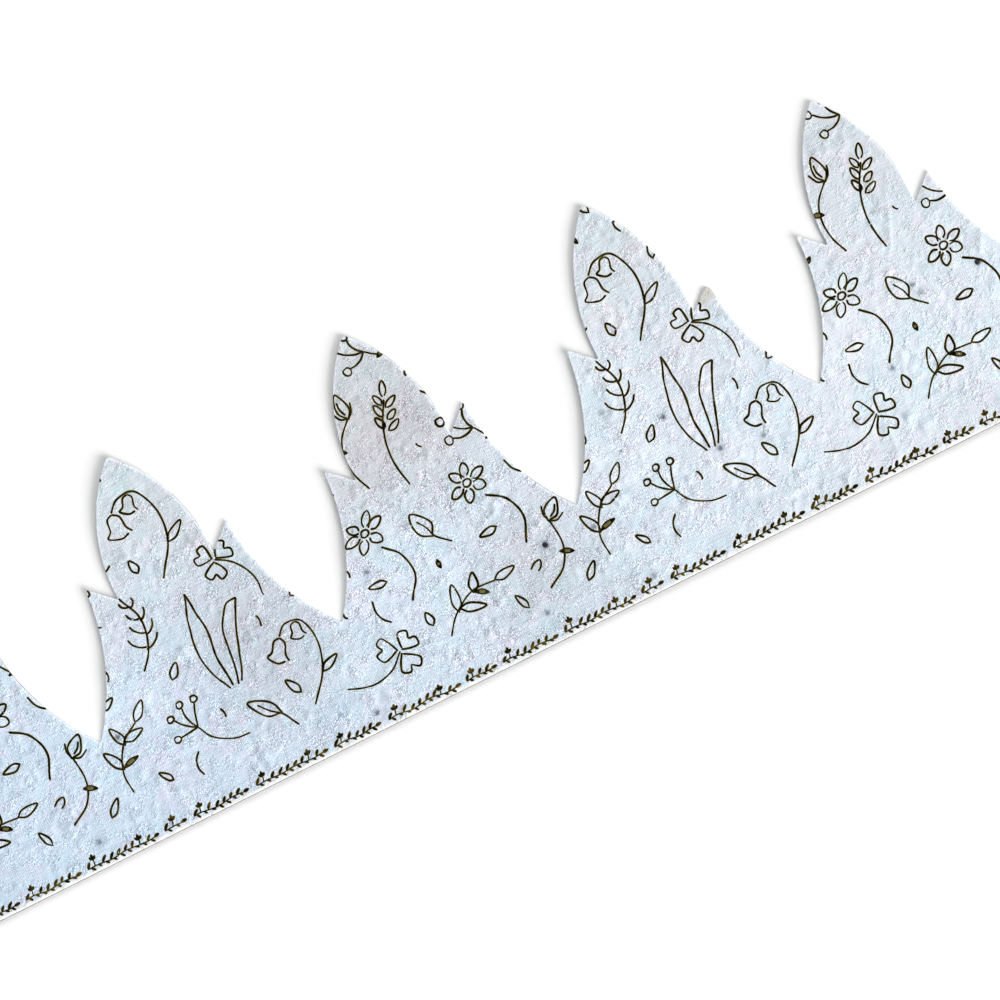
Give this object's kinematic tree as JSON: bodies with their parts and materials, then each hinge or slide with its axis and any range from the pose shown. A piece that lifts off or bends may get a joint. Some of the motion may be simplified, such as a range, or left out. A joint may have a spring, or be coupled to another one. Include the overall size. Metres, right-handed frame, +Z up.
{
  "type": "seed paper crown",
  "caption": "Flat die-cut strip of thick seed paper with a row of barbed leaf points, worn as a crown once its ends are joined.",
  "frame": {"origin": "middle of the strip's footprint, on its underside", "axes": "+X along the strip, +Y from the straight lower edge to the points' tips, +Z up out of the printed face"},
  "size_m": [0.6, 0.1424, 0.0008],
  "materials": {
    "seed_paper": "matt pale blue-grey handmade paper with a felted, lumpy surface",
    "seed_husk": "dull dark blue-grey seed husk",
    "print_ink": "matt olive-brown printing ink, soaked into the paper"
  },
  "bodies": {
    "root": {"crown_strip": "seed_paper", "seeds": "seed_husk"}
  },
  "joints": []
}
